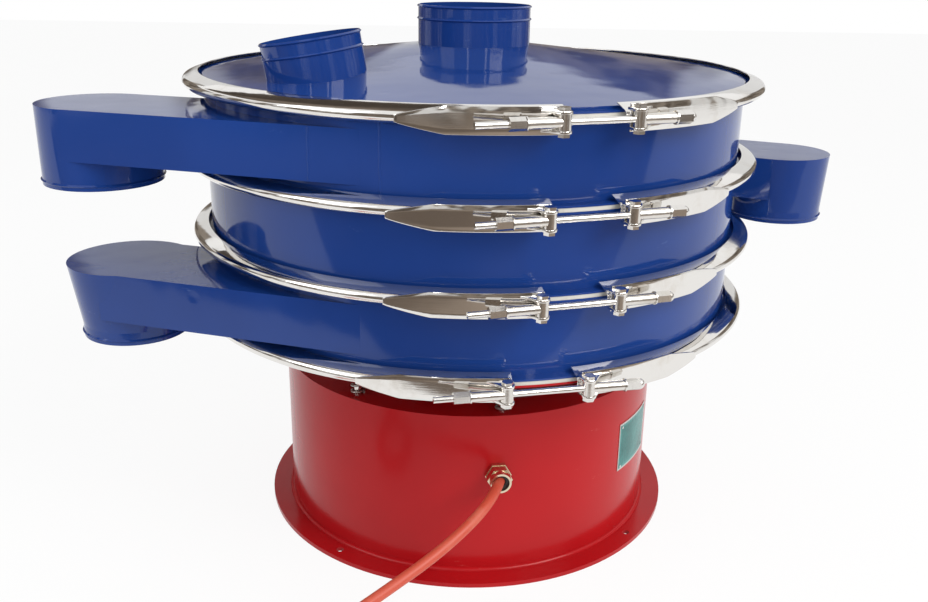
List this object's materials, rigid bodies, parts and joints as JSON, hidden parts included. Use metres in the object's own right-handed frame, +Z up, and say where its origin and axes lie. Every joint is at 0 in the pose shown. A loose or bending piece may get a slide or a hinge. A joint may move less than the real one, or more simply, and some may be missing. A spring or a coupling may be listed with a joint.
{
  "type": "vibrating sieve",
  "caption": "Round multi-deck vibrating sieve: red drum base, support springs, stacked blue frames with tangential spouts, polished V clamp rings with rod closers, conical cover with inlets.",
  "frame": {"origin": "centre of the foot bolt circle, on the floor", "axes": "+Z up along the machine's axis, -Y towards the side with the cable gland and the clamp closers, +X to the right seen from there"},
  "size_m": [1.4434, 1.311, 0.958],
  "materials": {
    "blue_paint": "gloss",
    "red_paint": "gloss",
    "polished_steel": "mirror polished",
    "cast_steel": "satin",
    "zinc_steel": "satin",
    "spring_steel": "satin",
    "screen_steel": "satin",
    "seal_rubber": "matt",
    "gland_brass": "nickel plated",
    "black_rubber": "matt",
    "cable_rubber": "satin",
    "plug_plastic": "satin",
    "plate_metal": "printed",
    "rivet_metal": "bright",
    "motor_paint": "painted",
    "machined_steel": "machined"
  },
  "bodies": {
    "base": {"base_drum": "red_paint", "nameplate": "plate_metal", "nameplate_rivets": "rivet_metal", "gland_body": "gland_brass", "gland_lock_nut": "gland_brass", "gland_cap_nut": "gland_brass", "gland_seal": "black_rubber", "power_cable": "cable_rubber", "cable_coil": "cable_rubber", "plug_lead": "cable_rubber", "plug": "plug_plastic", "motor_lead": "cable_rubber", "support_springs": "spring_steel", "lower_spring_studs": "zinc_steel"},
    "vibrating_body": {"cover": "blue_paint", "upper_frame": "blue_paint", "middle_frame": "blue_paint", "lower_frame": "blue_paint", "vibrating_table": "red_paint", "clamp_ring_1": "polished_steel", "clamp_ring_2": "polished_steel", "clamp_ring_3": "polished_steel", "clamp_ring_4": "polished_steel", "left_trunnion_1": "cast_steel", "left_trunnion_2": "cast_steel", "left_trunnion_3": "cast_steel", "left_trunnion_4": "cast_steel", "right_trunnion_1": "cast_steel", "right_trunnion_2": "cast_steel", "right_trunnion_3": "cast_steel", "right_trunnion_4": "cast_steel", "closing_rods": "zinc_steel", "lock_nuts_and_washers": "zinc_steel", "pivot_screws": "zinc_steel", "motor_bolts": "zinc_steel", "upper_spring_studs": "zinc_steel", "upper_screen_ring": "screen_steel", "upper_screen_mesh": "screen_steel", "lower_screen_ring": "screen_steel", "lower_screen_mesh": "screen_steel", "upper_screen_seal": "seal_rubber", "lower_screen_seal": "seal_rubber", "cover_seal": "seal_rubber", "table_seal": "seal_rubber", "motor_housing": "motor_paint", "motor_end_bells": "motor_paint", "terminal_box": "motor_paint", "motor_bearings": "machined_steel"},
    "motor_rotor": {"motor_shaft": "machined_steel", "upper_weight": "machined_steel", "lower_weight": "machined_steel"},
    "phase_weight": {"phase_weight": "machined_steel"},
    "closing_nut_1": {"clamp_nut_1": "zinc_steel", "cap_nut_1": "zinc_steel"},
    "closing_nut_2": {"clamp_nut_2": "zinc_steel", "cap_nut_2": "zinc_steel"},
    "closing_nut_3": {"clamp_nut_3": "zinc_steel", "cap_nut_3": "zinc_steel"},
    "closing_nut_4": {"clamp_nut_4": "zinc_steel", "cap_nut_4": "zinc_steel"}
  },
  "joints": [
    {"name": "spring_travel", "type": "slide", "parent": "base", "child": "vibrating_body", "axis": [0, 0, 1], "range_m": [-0.004, 0.004], "stiffness_N_per_m": 100000, "springref_m": 0.01962, "deforming": ["support_springs"]},
    {"name": "motor_spin", "type": "hinge", "parent": "vibrating_body", "child": "motor_rotor", "pos_m": [0, 0, 0.3], "axis": [0, 0, 1], "continuous": true},
    {"name": "phase_angle", "type": "hinge", "parent": "motor_rotor", "child": "phase_weight", "pos_m": [0, 0, 0.15], "axis": [0, 0, 1], "range_deg": [-35, 55]},
    {"name": "closing_nut_1_turn", "type": "hinge", "parent": "vibrating_body", "child": "closing_nut_1", "pos_m": [0.29763, -0.46003, 0.831], "axis": [0.9426, 0.3338, 0], "continuous": true},
    {"name": "closing_nut_2_turn", "type": "hinge", "parent": "vibrating_body", "child": "closing_nut_2", "pos_m": [0.29957, -0.46106, 0.695], "axis": [0.9466, 0.3223, 0], "continuous": true},
    {"name": "closing_nut_3_turn", "type": "hinge", "parent": "vibrating_body", "child": "closing_nut_3", "pos_m": [0.28767, -0.46744, 0.5655], "axis": [0.9521, 0.3057, 0], "continuous": true},
    {"name": "closing_nut_4_turn", "type": "hinge", "parent": "vibrating_body", "child": "closing_nut_4", "pos_m": [0.24998, -0.48931, 0.433], "axis": [0.9744, 0.225, 0], "continuous": true}
  ]
}
